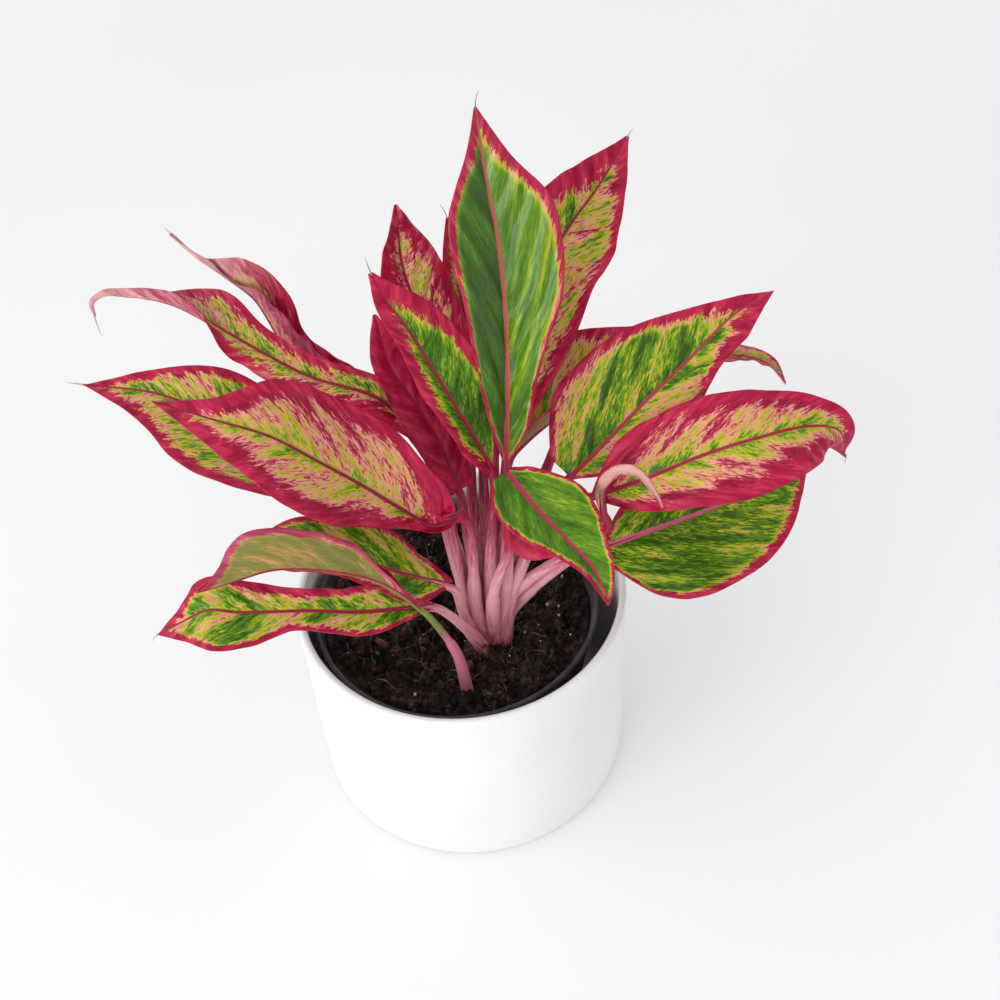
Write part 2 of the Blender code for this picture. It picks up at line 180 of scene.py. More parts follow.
plainLeaf = dict(
    fold=((0, 0), (0, 0)), curl=((0, 0), (0, 0)),   # degrees, left half then right half
    wave=(0, 1, 0),                   # waves of the margin: height in mm, how many, and phase
    gather=0.5, stout=1.0)            # share kept of its root's distance from the stem; girth
leaves = {
    "centre": dict(
        path=((22, -8, 180), (24, -1, 206), (25, 6, 232), (24, 13, 262), (21, 20, 286),
              (19, 26, 307)),
        face=((0, -1, 0.3), (0.05, -1, 0.35)),
        left=(1, 6.8, 10.8, 13.3, 15, 16.8, 15.3, 6.5, 0.3),
        right=(1, 8.2, 10.7, 14.8, 20.6, 22, 20, 9, 0.3), fold=((30, 25, 20, 15), (30, 25, 15, 5)),
        curl=((-10, -10), (-10, -15)), stalk=((16, -11.5, 130),), root=(12.2, -12.6),
        wave=(0.8, 2.5, 0.1)),
    "backRight": dict(
        path=((18, 3, 178), (24, 10, 192), (33, 25, 212), (41, 34, 237), (51, 42, 250), (62, 48, 262),
              (72, 52, 278)),
        face=((0.1, -0.8, 0.7),),
        left=(3, 6, 10, 14, 17, 12, 0.3), right=(5, 10, 15, 18, 19, 19, 10.5, 0.3),
        fold=((10, 10), (15, 5)), curl=((0, 0), (0, 10)), stalk=((16.3, -2, 112), (17.2, 2.5, 150)),
        root=(14.3, -4.2), wave=(1.6, 2.2, 0.1)),
    "backLeft": dict(
        path=((9, 6, 186), (1, 16, 206), (-6, 27, 224), (-11, 34, 242), (-11, 38, 265)),
        face=((0.35, -0.9, 0.5),),
        left=(1, 9, 11, 11, 10, 7, 0.4), right=(1, 12, 15, 16, 15, 11, 0.4),
        fold=((5, 10, 15), (15, 30, 40)), curl=((0, 0), (-20, -60)), stalk=((7.5, -4.5, 130),),
        root=(8, -8.4), wave=(1.2, 2.5, 0.3)),
    "leftInner": dict(
        path=((17, -10, 179), (8, -8, 202), (-1, -5, 223), (-9, 0, 239), (-16, 5, 249),
              (-20, 8, 258)),
        face=((0.6, -0.8, 0.5), (0.5, -0.9, 0.5)),
        left=(3, 8, 9, 9, 8, 6, 0.4), right=(0.8, 8, 13.5, 15.5, 14.5, 9.5, 0.4),
        fold=((15, 10), (15, 10)), stalk=((13.5, -17, 130),), root=(12.2, -16.8),
        hold=(0.6, -0.8, -2), wave=(0.8, 2, 0)),
    "leftRed": dict(
        path=((4, -9, 168), (-2, -4, 188), (-10, 2, 204), (-18, 7, 218), (-21, 11, 238)),
        face=((0.5, -0.8, 0.3),),
        left=(4, 8, 9, 9, 7, 5, 0.4), right=(6, 11, 12, 11, 9, 5, 0.4),
        stalk=((6.5, -12.5, 125),), root=(8, -12.6), wave=(1.5, 2, 0.2)),
    "backCentre": dict(
        path=((14, 12, 184), (12, 26, 206), (9, 40, 224), (7, 50, 238), (6, 54, 248)),
        face=((0, -0.8, 0.6),),
        left=(1, 6, 8, 8, 6, 4, 0.4), right=(1, 8, 10, 10, 8, 5, 0.4), fold=((10, 10), (10, 10)),
        stalk=((12.5, -1.5, 130), (12.8, 4, 156)), root=(12.2, -8.4)),
    "farBack": dict(
        path=((-10, 16, 178), (-24, 22, 186), (-40, 30, 189), (-59, 43, 197), (-67, 53, 207),
              (-72, 59, 214), (-78, 63, 217), (-86, 69, 220), (-95, 75, 224), (-105, 83, 230)),
        face=((0.3, -0.2, 1), (0.2, -0.3, 1), (0.1, -0.4, 1)),
        left=(1, 6, 8, 9, 11.5, 8, 2, 4.5, 0.4), right=(1, 8, 10, 10, 10, 14, 11, 1.2, 0.4),
        fold=((30, 70, 105, 110, 110, 100, 70, 80, 60), (50, 60, 50, 40, 60, 60, 60)),
        stalk=((1, -4, 120), (-4, 6, 150)), root=(3.8, -8.4)),
    "farFront": dict(
        path=((-9, 6, 180), (-24, 12, 198), (-49, 19, 205), (-68, 27, 213), (-94, 38, 226),
              (-106, 43, 228), (-117, 46, 228), (-126, 49, 227), (-132, 50, 223), (-133, 50, 217)),
        face=((0.2, -0.3, 1), (0.2, -0.3, 1), (0, -0.4, 1)),
        left=(1, 8, 11, 12, 10, 7, 5, 3, 0.3), right=(1, 7, 8, 8, 9, 13, 3, 1.5, 0.3),
        fold=((10, 20, 30, 30, 60, 70, 70), (20, 20, 25, 30)),
        curl=((-60, -110, -130, -120, 60, 100, 90), (0, 0)), stalk=((1, -9.5, 118), (-4, -2, 150)),
        root=(3.8, -12.6), hold=(1, -0.5, -1.5)),
    "leftLow": dict(
        path=((-2, -14, 166), (-20, -9, 178), (-48, -1, 185), (-78, 8, 193), (-106, 16, 204),
              (-135, 22, 206)),
        face=((0, -0.4, 1),),
        left=(1, 14, 21, 24.5, 23, 12, 0.3), right=(1, 9, 12, 16, 18, 8, 0.3),
        fold=((5, 5), (20, 15)),
        stalk=((1.5, -15.5, 115),), root=(3.8, -16.8), hold=(1.5, -0.3, -1.5),
        wave=(1.5, 2.2, 0.4)),
    "leftBroad": dict(
        path=((5, -20, 168), (-6, -24, 165), (-18, -27, 179), (-30, -30, 195), (-42, -35, 212),
              (-56, -38, 228), (-73, -38, 237), (-92, -34, 243)),
        face=((0.3, -0.5, 1),),
        left=(2, 4, 11, 18, 20, 16.5, 8, 0.3), right=(7, 16, 20, 24, 24, 20, 7.5, 0.3),
        fold=((-5, -5), (75, 60, 30, 10, 5, 5, 5)), curl=((0, 0), (40, 20, 10, 0, 0, 0, 0)),
        stalk=((6.5, -20.6, 112), (7, -20.5, 146)), root=(8, -21), hold=(1.8, 0.4, -1.6),
        wave=(1.5, 2.4, 0.1)),
    "lowUpper": dict(
        path=((-2, -27, 134), (-20, -34, 151), (-37, -38, 166), (-55, -38, 172), (-72, -34, 166),
              (-85, -30, 154)),
        face=((0, -0.4, 1),),
        left=(1, 10, 9, 8, 8, 5, 0.4), right=(1, 12, 15, 15, 12, 7, 0.4), fold=((-10, -10), (0, 0)),
        stalk=((2.2, -22.5, 106),), root=(3.8, -21), hold=(1.2, 0.3, -1.6),
        wave=(1.2, 3, 0)),
    "lowFolded": dict(
        path=((-13, -45, 142), (-18, -48, 154), (-27, -51, 167), (-41, -54, 177), (-60, -54, 180),
              (-77, -52, 173), (-92, -50, 166)),
        face=((0, -0.4, 1),),
        left=(0.5, 2, 7, 15, 18, 9, 0.4), right=(0.5, 2, 6, 10, 9, 5, 0.4),
        fold=((60, 115, 120, 120, 90), (20, 20, 10)),
        stalk=((-1.7, -41, 107), (-6.4, -42, 123)), root=(0.6, -40), hold=(1.2, 0.3, -2.2),
        wave=(1.6, 3, 0.2), gather=1, stout=0.72, sheath=0.6),
    "lowFront": dict(
        path=((-9, -36, 133), (-22, -44, 142), (-37, -50, 149), (-53, -53, 155), (-67, -54, 157),
              (-79, -54, 158), (-89, -53, 159), (-99, -51, 152), (-112, -49, 142)),
        face=((0, -0.5, 1), (0, -0.5, 1), (-0.4, -0.5, 1)),
        left=(1, 5, 9, 8.5, 7.5, 13, 15, 8, 0.3), right=(1, 7, 10, 8.5, 8.5, 11, 12, 5, 0.3),
        fold=((0, 5), (20, 30, 10, 10)), stalk=((4, -26.5, 102), (-2, -31, 118)),
        root=(5, -25.5)),
    "front": dict(
        path=((22, -24, 191), (27, -32, 189), (35, -41, 183), (43, -48, 177), (50, -53, 170),
              (54, -56, 161), (56, -57, 152)),
        face=((-0.1, -0.7, 1), (0, -0.8, 0.9), (0.2, -1, 0.5)),
        left=(3, 12, 17, 15.5, 9.5, 5, 0.3), right=(7, 13, 12, 8, 5, 3, 0.3),
        fold=((-5, 5, 15), (10, 10, 0)),
        stalk=((19.5, -19.5, 130), (21, -15.5, 160)), root=(16.4, -21), hold=(-0.5, 1.5, -2),
        wave=(1, 2, 0.2)),
    "frontUnder": dict(
        path=((21, -24, 165), (24, -29, 161), (29, -34, 161), (35, -38, 164), (42, -42, 168)),
        face=((0, -0.9, 0.6),),
        left=(1, 4, 5, 5, 4, 3, 0.4), right=(1, 4, 5, 5, 4, 3, 0.4),
        stalk=((14, -25, 125), (21, -23.5, 148)), root=(12.2, -21),
        hold=(0, 1.5, -2)),
    "rightUpper": dict(
        path=((46, -8, 170), (58, -5, 182), (74, 2, 196), (92, 10, 210), (108, 19, 221),
              (124, 26, 226)),
        face=((-0.2, -0.7, 0.8),),
        left=(11, 26, 28, 25, 18, 7, 0.3), right=(1, 12, 16, 16, 11, 9, 0.3), fold=((5, 5), (10, 10)),
        root=(16.4, -12.6), wave=(1.8, 2.6, 0.3)),
    "rightRear": dict(
        path=((22, 4, 170), (33, 13, 174), (44, 22, 176), (57, 33, 181), (71, 44, 186),
              (84, 54, 191)),
        face=((-0.2, -0.7, 0.8),),
        left=(9, 15, 19, 23, 24, 18, 10, 0.4), right=(10, 15, 17, 17, 16, 12, 6, 0.4),
        fold=((15, 15), (85, 85)), curl=((0, 0), (20, 20)),
        stalk=((17.5, -7, 110), (20.8, -2.5, 145)), root=(16.4, -8.4),
        hold=(0.2, -1.2, -1.8), wave=(1, 2, 0)),
    "rightBroad": dict(
        path=((53, -21, 172), (72, -27, 186), (92, -29, 198), (112, -27, 203), (130, -22, 202),
              (143, -18, 195), (148, -16, 180)),
        face=((-0.2, -0.7, 1), (-0.1, -0.6, 1), (0.3, -0.6, 0.8)),
        left=(1, 17, 20, 19, 15, 8, 0.4), right=(1, 11, 17, 20, 17, 11, 0.4), fold=((5, 5), (5, -10)),
        curl=((0, 0), (0, -10)), root=(20.6, -21), wave=(1.8, 2.6, 0.25)),
    "rightLow": dict(
        path=((57, -14, 135), (76, -11, 140), (96, -6, 143), (114, 0, 145), (130, 6, 147),
              (144, 12, 146)),
        face=((0, -0.5, 1),),
        left=(1, 14, 18, 18, 14, 9, 0.4), right=(6, 25, 32, 31, 27, 17, 0.4), fold=((5, 5), (0, 0)),
        root=(20.6, -12.6), wave=(1.2, 2.5, 0)),
    "farCurl": dict(
        path=((62, 34, 170), (84, 52, 168), (108, 68, 162), (129, 80, 151), (144, 87, 139),
              (154, 91, 124)),
        face=((0, -0.5, 1), (0.3, -0.5, 1)),
        left=(1, 6, 7, 7, 5, 4, 0.4), right=(1, 6, 7, 7, 5, 4, 0.4), fold=((40, 40), (40, 40)),
        root=(20.6, -8.4)),
    "strap": dict(
        path=((56, -25, 168), (55, -31, 186), (59, -36, 199), (66, -40, 203), (72, -43, 197),
              (76, -44, 188)),
        face=((-0.5, -0.6, 0.6), (-0.3, -0.6, 1), (0.5, -0.6, 0.6)),
        left=(1, 2.4, 2.4, 2.2, 1.8, 1.2, 0.4), right=(1, 2.4, 2.4, 2.2, 1.8, 1.2, 0.4),
        root=(20.6, -16.8)),
}


# how each leaf is coloured. margin: width in mm of the crimson border, at equal stations from base
# to tip, left half then right half. green: 0 crimson, 0.3 salmon, 0.5 yellow, 0.7 green, 1 darkest.
# core: extra green beside the midrib. patch, streak and speckle: how far the mottling moves green.
plainLook = dict(
    core=0.06, patch=1.5, streak=0.3, speckle=0.4,
    rib="#971c3c", ribWide=1.0,     # the midrib's colour, and its width against a common one
    vein=0.25,                      # how dark the side veins are
    lean=1.2,                       # how far a side vein runs on for each mm outward
    quilt=0.4, pitch=8.5,           # height of the swell between side veins, and their distance
    shine=0.22, gloss=0.33,         # specular level and roughness
    pale=(0, 0), bleach="#deb0ae",  # how bleached from base to tip, and the bleached colour
    flush=95.0,                     # mm up the stalk to its deepest red
    # stalk colours from the soil up: the dark red-brown first stop is painted shade at the crowded
    # foot; the pinks and the crimson top are the stalk's own
    stalk=((0.0, "#8c3c48"), (0.14, "#c4727f"), (0.3, "#db939d"), (0.5, "#e4abb2"), (0.66, "#ca6c80"),
           (0.84, "#9c2042")))
looks = {
    # centre: the left half's darker green level (0.88 against 0.67 on the right) is painted shade on
    # the half that turns away from the window
    "centre": dict(margin=((1.2, 1.2, 1.3, 1.6, 2.2, 3, 4), (0.9, 1, 1.2, 1.6, 2.4, 4, 4)),
        green=(0.88, 0.67), patch=0.7, speckle=0.15, rib="#b4504c", ribWide=1.2, lean=2.4, quilt=0.7,
        pitch=21, shine=0.4, gloss=0.2),
    "backRight": dict(margin=((2, 2, 2, 2.5, 4, 9, 9), (2, 3.5, 4, 3, 3, 4, 7)), green=(0.54, 0.48),
        patch=1.8, speckle=0.45),
    "backLeft": dict(margin=((6, 7, 8, 8, 6, 5, 6), (4, 4, 4, 4, 4, 5, 6)), green=(0.26, 0.33),
        patch=1.3, speckle=0.6, pale=(0.1, 0.1, 0.25)),
    "leftInner": dict(margin=((3, 3, 3.5, 4, 5, 8, 9), (1, 1, 1.5, 3, 5, 8, 9)), green=(0.76, 0.78),
        patch=0.8, speckle=0.35),
    "leftRed": dict(margin=((30, 30), (30, 30)), green=(0.2, 0.2), quilt=0.1),
    "backCentre": dict(margin=((2, 2, 3, 4), (2, 2, 3, 4)), green=(0.7, 0.7), patch=1.3, speckle=0.6),
    "farBack": dict(margin=((3, 3, 4, 5, 5), (4, 4, 5, 5, 5)), green=(0.34, 0.3), patch=1.3,
        pale=(0, 0, 0.05, 0.2, 0.65, 0.9)),
    "farFront": dict(margin=((4, 6, 6, 5, 3, 3), (2, 3, 3, 3, 6)), green=(0.47, 0.48), patch=1.6,
        speckle=0.6, pale=(0, 0.1, 0.15, 0.25, 0.5, 0.8)),
    "leftLow": dict(margin=((3, 3, 3, 3.5, 4, 4, 4), (2, 2, 2.5, 3, 3, 3, 4)), green=(0.5, 0.58),
        patch=1.6, speckle=0.55),
    "leftBroad": dict(margin=((6, 4, 4, 4.5, 4.5, 4.5, 5), (20, 14, 5, 4.5, 4.5, 5, 6, 6)),
        green=(0.27, 0.32), core=0.22, patch=1.3, rib="#8a1c3c"),
    "lowUpper": dict(margin=((2, 2), (2, 2)), green=(0.62, 0.62), patch=1.6),
    "lowFolded": dict(margin=((1, 2, 2, 2.5, 4), (3, 4, 4, 4, 5)), green=(0.7, 0.6), patch=1.4,
        flush=62, stalk=((0, "#c26a80"), (0.3, "#c9798e"), (0.66, "#c46c84"), (0.7, "#7f7a3c"),
                         (1, "#6f8a38"))),
    "lowFront": dict(margin=((1.5, 1.6, 1.8, 2, 2, 2.4, 3), (1.8, 2, 2.5, 3, 3, 3, 4)),
        green=(0.58, 0.58), patch=1.8),
    "front": dict(margin=((1.3, 1.3), (1.2, 1.5)), green=(0.72, 0.78), patch=0.7, speckle=0.15,
        rib="#b02a50"),
    "frontUnder": dict(margin=((30, 30), (30, 30)), green=(0.2, 0.2)),
    "rightUpper": dict(margin=((2.5, 3, 3, 3, 4, 5, 9), (2, 2, 2, 2.5, 3, 7, 10)), green=(0.62, 0.56),
        patch=1.6, rib="#a8324e"),
    "rightRear": dict(margin=((3, 3, 3, 4, 5), (3, 3, 3, 4, 5)), green=(0.44, 0.46), patch=1.6),
    "rightBroad": dict(margin=((9, 7, 5, 4.5, 4, 4, 4), (3, 4, 4.5, 6, 7, 7, 6)), green=(0.3, 0.28),
        core=0.32, patch=1.4, rib="#a01c42"),
    "rightLow": dict(margin=((3, 3, 3, 3, 3), (1.5, 2, 2.5, 3, 3.5, 4, 4)), green=(0.7, 0.7),
        patch=1.4, speckle=0.45, rib="#c8607c", ribWide=1.3),
    "farCurl": dict(margin=((0.8, 0.8), (2, 2)), green=(0.42, 0.3), pale=(0.3, 0.3)),
    "strap": dict(margin=((0.3, 0.3), (0.3, 0.3)), green=(0.3, 0.3), patch=0.1, speckle=0.1,
        rib="#d9a8a4", pale=(0.2, 0.5, 0.5)),
}
for name in leaves:
    leaves[name] = {**plainLeaf, **leaves[name], "look": {**plainLook, **looks[name]}}


def cadName(name):
    # the CAD's name for a leaf: words split by an underscore
    return "".join("_" + c.lower() if c.isupper() else c for c in name)


blade = {
    "rows": 110,
    "half": 20,          # columns from the midrib to a margin
    "thickness": 0.45,
    "ribGroove": 0.5,    # depth of the channel over the midrib
    "ribSpread": 1.6,
    "ribTaper": (1.1, 0.8, 0.65, 0.5, 0.25),   # half width of its pink line, base to tip
    "veinSweep": 0.02,   # how fast the side veins bend towards the tip
    "veinDrift": 2.2,    # their unevenness, in patches veinPatch across
    "veinPatch": 34,
    "ruffle": 0.5,       # small unevenness of the margin, in patches rufflePatch across
    "rufflePatch": 14,
    "coreSpread": 5.0,   # reach of the greener core beside the midrib
}


def bladeSurface(leaf):
    # A leaf is a path with a half on each side. A half's point lies out from the midrib by
    # the running sum of cos(angle) and up by the running sum of sin(angle), where angle is
    # the fold at the midrib plus the curl times the share of the way out.
    rows, half = blade["rows"], blade["half"]
    u = np.linspace(0, 1, rows)
    path, length = evenPath(leaf["path"], rows)
    tangent = unit(np.gradient(path, axis=0))
    face = stationed(leaf["face"], u)
    face = unit(face - (face * tangent).sum(1, keepdims=True) * tangent)
    side = np.cross(tangent, face)
    fine = 4
    s = (np.arange(half * fine) + 0.5) / (half * fine)
    wings = []
    for k, sign in ((0, -1), (1, 1)):
        width = np.maximum(stationed(leaf[("left", "right")[k]], u), 0.25)
        angle = np.radians(stationed(leaf["fold"][k], u) + stationed(leaf["curl"][k], u) * s)
        out = np.cumsum(np.cos(angle), 1)[:, fine - 1::fine] / (half * fine) * width
        up = np.cumsum(np.sin(angle), 1)[:, fine - 1::fine] / (half * fine) * width
        wing = path[:, None] + sign * out[..., None] * side[:, None] + up[..., None] * face[:, None]
        across = width * np.arange(1, half + 1) / half
        edge = width - across
        wings.append((wing, sign * across, edge))
    (left, leftAcross, leftEdge), (right, rightAcross, rightEdge) = wings
    middleEdge = np.minimum(leftEdge[:, :1] - leftAcross[:, :1],
                            rightEdge[:, :1] + rightAcross[:, :1])
    points = np.concatenate([left[:, ::-1], path[:, None], right], 1)
    across = np.concatenate([leftAcross[:, ::-1], np.zeros((rows, 1)), rightAcross], 1)
    edge = np.concatenate([leftEdge[:, ::-1], middleEdge, rightEdge], 1)
    along = np.repeat((u * length)[:, None], 2 * half + 1, 1)
    return points, across, edge, along, length


def makeBlade(name, leaf, number):
    look = leaf["look"]
    rng = np.random.default_rng(100 + number)
    points, across, edge, along, length = bladeSurface(leaf)
    dist = np.abs(across)
    # place of the side vein through a point: its distance along the midrib, less a lean
    # that grows outward, so the veins leave the midrib at half a right angle and sweep on
    vein = along - look["lean"] * dist - blade["veinSweep"] * dist ** 2
    near = np.clip(edge / 4, 0, 1)
    height = -blade["ribGroove"] * np.exp(-(dist / blade["ribSpread"]) ** 2)
    flat = np.stack([along, across], -1)
    drift = blade["veinDrift"] * wobble(rng, flat, blade["veinPatch"])
    swell = np.cos(2 * np.pi * (vein + drift) / look["pitch"])
    height += look["quilt"] * near * np.clip(dist / 4, 0, 1) * swell
    uneven = wobble(rng, flat, blade["rufflePatch"])
    height += blade["ruffle"] * (1 - near) * uneven * np.clip(dist / 6, 0, 1)
    # long waves of the margin: their size grows outward with the square of the distance
    size, count, phase = leaf["wave"]
    share = dist / np.maximum(dist + edge, 0.3)
    turns = count * along / length + phase + 0.25 * np.sign(across)
    height += size * share ** 2 * np.sin(2 * np.pi * turns)
    normal = unit(np.cross(np.gradient(points, axis=1), np.gradient(points, axis=0)))
    points = points + normal * height[..., None]
    faces = gridFaces(*across.shape)
    u = along[:, 0] / length
    rib = stationed(blade["ribTaper"], u)[:, 0] * look["ribWide"]
    # how far a point lies in from the margin, in widths of the crimson border on its side
    sides = [stationed(m, u) for m in look["margin"]]
    inset = edge / np.where(across > 0, sides[1], sides[0])
    green = np.where(across > 0, look["green"][1], look["green"][0])
    green = green + look["core"] * np.exp(-(dist / blade["coreSpread"]) ** 2)
    fields = {
        "leafField": np.stack([inset, green, dist / rib[:, None]], -1).reshape(-1, 3),
        "veinField": np.stack([vein, dist, 37.0 * (across > 0) + 5.3 * number], -1).reshape(-1, 3),
        "paleField": (stationed(look["pale"], u) + 0 * across).ravel(),
    }
    skins = [leafSkin(name, look, layer) for layer in ("skin", "under")]
    piece = addPiece("leaf_" + name, points * mm, faces, skins, fields)
    skin = piece.modifiers.new("thickness", "SOLIDIFY")
    skin.thickness = blade["thickness"] * mm
    skin.offset = 0.0
    skin.material_offset = 1
    return piece


# living leaf tissue: pigment lies cell by cell under a clear waxy skin, so the colours meet in
# speckled streaks that follow the side veins, under one satin sheen. The underside shows the same
# pattern through pale spongy tissue, pinker and more matt.
tissue = {
    "skin": ((0.0, "#8c0c30"), (0.14, "#ac1c40"), (0.24, "#c65a68"), (0.30, "#df988c"),
             (0.38, "#dca276"), (0.42, "#c9a63e"), (0.50, "#b8b426"), (0.57, "#8aa61c"),
             (0.66, "#5e8a17"), (0.78, "#446f12"), (0.95, "#304e0c")),
    "under": ((0.0, "#9c2c4c"), (0.14, "#ac3f5a"), (0.26, "#c46f78"), (0.34, "#cf8f84"),
              (0.44, "#bb8a5e"), (0.60, "#99813f"), (0.80, "#79773a")),
}
border = {
    "skin": ((0.35, "#930b32"), (0.5, "#b01840"), (0.65, "#c63250")),
    "under": ((0.35, "#98244a"), (0.5, "#aa3c5a"), (0.65, "#bc5670")),
}
mottle = {
    "patch": (8.0, 12.0),       # mm across and along the side veins
    "streak": (1.5, 2.1),
    "speckle": (0.8, 0.9),      # single cells are finer; this is as coarse as needed to show
    "edge": (5.0, 6.0),
}


def leafSkin(name, look, layer):
    material, tree, shader = newMaterial("variegated leaf " + layer + " " + name, {
        "Roughness": look["gloss"] if layer == "skin" else 0.5, "IOR": 1.45,
        "Specular IOR Level": look["shine"]})
    leafField = addNode(tree, "Attribute", {"attribute_name": "leafField"})
    veinField = addNode(tree, "Attribute", {"attribute_name": "veinField"})
    inset, green, rib = addNode(tree, "SeparateXYZ", None, {
        0: leafField.outputs["Vector"]}).outputs
    noise = {}
    for key, (wide, long) in mottle.items():
        stretched = addNode(tree, "VectorMath", {"operation": "MULTIPLY"}, {
            0: veinField.outputs["Vector"], 1: (1 / wide, 1 / long, 1.0)})
        if key == "speckle":
            noise[key] = addNode(tree, "TexVoronoi", None, {
                "Vector": stretched.outputs[0], "Scale": 1.0}).outputs["Color"]
        else:
            noise[key] = addNode(tree, "TexNoise", None, {
                "Vector": stretched.outputs[0], "Scale": 1.0, "Detail": 3.0,
                "Roughness": 0.6}).outputs["Fac"]

    # green: the leaf's own level, moved up and down by the three sizes of mottling, and less of
    # it within one border's width of the crimson
    share = (look["patch"], look["streak"], look["speckle"])
    sizes = addNode(tree, "CombineXYZ", None, {
        0: noise["patch"], 1: noise["streak"], 2: noise["speckle"]})
    moved = addNode(tree, "VectorMath", {"operation": "DOT_PRODUCT"}, {
        0: sizes.outputs[0], 1: share})
    level = addNode(tree, "Math", {"operation": "ADD"}, {
        0: moved.outputs["Value"], 1: green})
    fringe = addNode(tree, "MapRange", {"interpolation_type": "SMOOTHSTEP"}, {
        "Value": inset, "From Min": 0.8, "From Max": 2.0,
        "To Min": -0.3 - sum(share) / 2, "To Max": -sum(share) / 2})
    level = addNode(tree, "Math", {"operation": "ADD"}, {
        0: level.outputs[0], 1: fringe.outputs[0]})
    inner = rampOf(tree, level.outputs[0], tissue[layer])

    # side veins: thin darker lines a fixed step apart along the midrib
    place = addNode(tree, "SeparateXYZ", None, {0: veinField.outputs["Vector"]})
    step = addNode(tree, "Math", {"operation": "PINGPONG"}, {
        0: place.outputs["X"], 1: look["pitch"] / 2})
    line = addNode(tree, "MapRange", {"interpolation_type": "SMOOTHSTEP"}, {
        "Value": step.outputs[0], "From Min": 0.4, "From Max": 0.0, "To Max": look["vein"]})
    inner = addNode(tree, "Mix", {"data_type": "RGBA"}, {
        0: line.outputs[0], 6: inner, 7: linearColour("#5c1c24")})

    # the crimson border, its inner line broken up by the same mottling
    sizes = addNode(tree, "CombineXYZ", None, {
        0: noise["edge"], 1: noise["streak"], 2: noise["speckle"]})
    moved = addNode(tree, "VectorMath", {"operation": "DOT_PRODUCT"}, {
        0: sizes.outputs[0], 1: (1.8, 1.0, 0.6)})
    reach = addNode(tree, "Math", {"operation": "ADD"}, {
        0: moved.outputs["Value"], 1: inset})
    reach = addNode(tree, "MapRange", {"interpolation_type": "SMOOTHSTEP"}, {
        "Value": reach.outputs[0], "From Min": 2.62, "From Max": 2.78})
    crimson = rampOf(tree, noise["edge"], border[layer])
    colour = addNode(tree, "Mix", {"data_type": "RGBA"}, {
        0: reach.outputs[0], 6: crimson, 7: inner.outputs[2]})

    # the midrib, its edges a little broken by the speckle
    ragged = addNode(tree, "Math", {"operation": "MULTIPLY_ADD"}, {
        0: noise["speckle"], 1: 0.4, 2: rib})
    mask = addNode(tree, "MapRange", {"interpolation_type": "SMOOTHSTEP"}, {
        "Value": ragged.outputs[0], "From Min": 1.35, "From Max": 1.0})
    colour = addNode(tree, "Mix", {"data_type": "RGBA"}, {
        0: mask.outputs[0], 6: colour.outputs[2], 7: linearColour(look["rib"])})

    # tissue that has bleached towards the tip, in cloudy patches
    pale = addNode(tree, "Attribute", {"attribute_name": "paleField"})
    cloudy = addNode(tree, "Math", {"operation": "ADD"}, {
        0: noise["edge"], 1: pale.outputs["Fac"]})
    bleach = addNode(tree, "MapRange", {"interpolation_type": "SMOOTHSTEP"}, {
        "Value": cloudy.outputs[0], "From Min": 0.7, "From Max": 1.4, "To Max": 0.85})
    colour = addNode(tree, "Mix", {"data_type": "RGBA"}, {
        0: bleach.outputs[0], 6: colour.outputs[2], 7: linearColour(look["bleach"])})
    tree.links.new(colour.outputs[2], shader.inputs["Base Color"])
    bump = addNode(tree, "Bump", None, {
        "Height": noise["streak"], "Strength": 0.2, "Distance": 0.0003})
    tree.links.new(bump.outputs["Normal"], shader.inputs["Normal"])
    return material


petiole = {
    "rows": 60,
    "round": 20,
    "stem": (13.0, -13.0),   # the upright line that the roots crowd towards
    "rootRadius": 3.2,       # at the soil, and where the blade begins
    "neckRadius": 1.8,
    "rootDepth": 4.0,        # how far a stalk runs down into the peat
    "channel": 0.2,      # depth of the groove on the inner side, as a share of the radius
    "soil": 85.5,
    "sheath": (0.42, 0.58, 0.5, 0.66),   # where the sheath ends along the stalk, by turns
    "sheathStep": 0.45,
    "ribLength": 0.82,   # how far the midrib's ridge runs under the blade
    "ridge": (0.85, 0.12),   # its radius at the neck and at the tip, as a share of the neck's
    "inside": (12.0, -12.0),   # the grooves face this upright line
    "smoothing": 6,
}


def stalkRoute(leaf, count):
    base = evenPath(leaf["path"], 30)[0]
    lead = unit(base[1] - base[0])
    end = base[0] + np.array(leaf.get("hold", -lead * 0.5))
    stem = np.array(petiole["stem"])
    root = stem + (np.array(leaf["root"]) - stem) * leaf["gather"]
    root = np.array((*root, petiole["soil"] - petiole["rootDepth"]))
    if "stalk" in leaf:
        points = [root, *[np.array(p, float) for p in leaf["stalk"]], end]
    else:
        rise = end[2] - root[2]
        low = root + (end - root) * (0.12, 0.12, 0.38)
        points = [root, low, end - lead * 0.22 * rise, end]
    return evenPath(points, count)[0]


def tube(path, radius, facing, sides, channel=0.0):
    # a ring of points is carried along the path: each lies at radius from it, at angles that
    # start on the side turned towards facing, where a groove takes a share of the radius away
    tangent = unit(np.gradient(path, axis=0))
    first = unit(facing - (facing * tangent).sum(1, keepdims=True) * tangent)
    second = np.cross(tangent, first)
    angle = np.linspace(0, 2 * np.pi, sides, endpoint=False)
    turn = np.minimum(angle, 2 * np.pi - angle)
    share = 1 - channel * np.exp(-(turn / 0.45) ** 2)
    ring = ((np.cos(angle) * share)[:, None] * first[:, None]
            + (np.sin(angle) * share)[:, None] * second[:, None])
    return path[:, None] + ring * radius[:, None, None], angle


def closedTube(points):
    # a tube's points and faces, both ends drawn to a middle point
    ends = np.stack([points[0].mean(0), points[-1].mean(0)])
    return np.concatenate([points.reshape(-1, 3), ends]), closedFaces(*points.shape[:2])


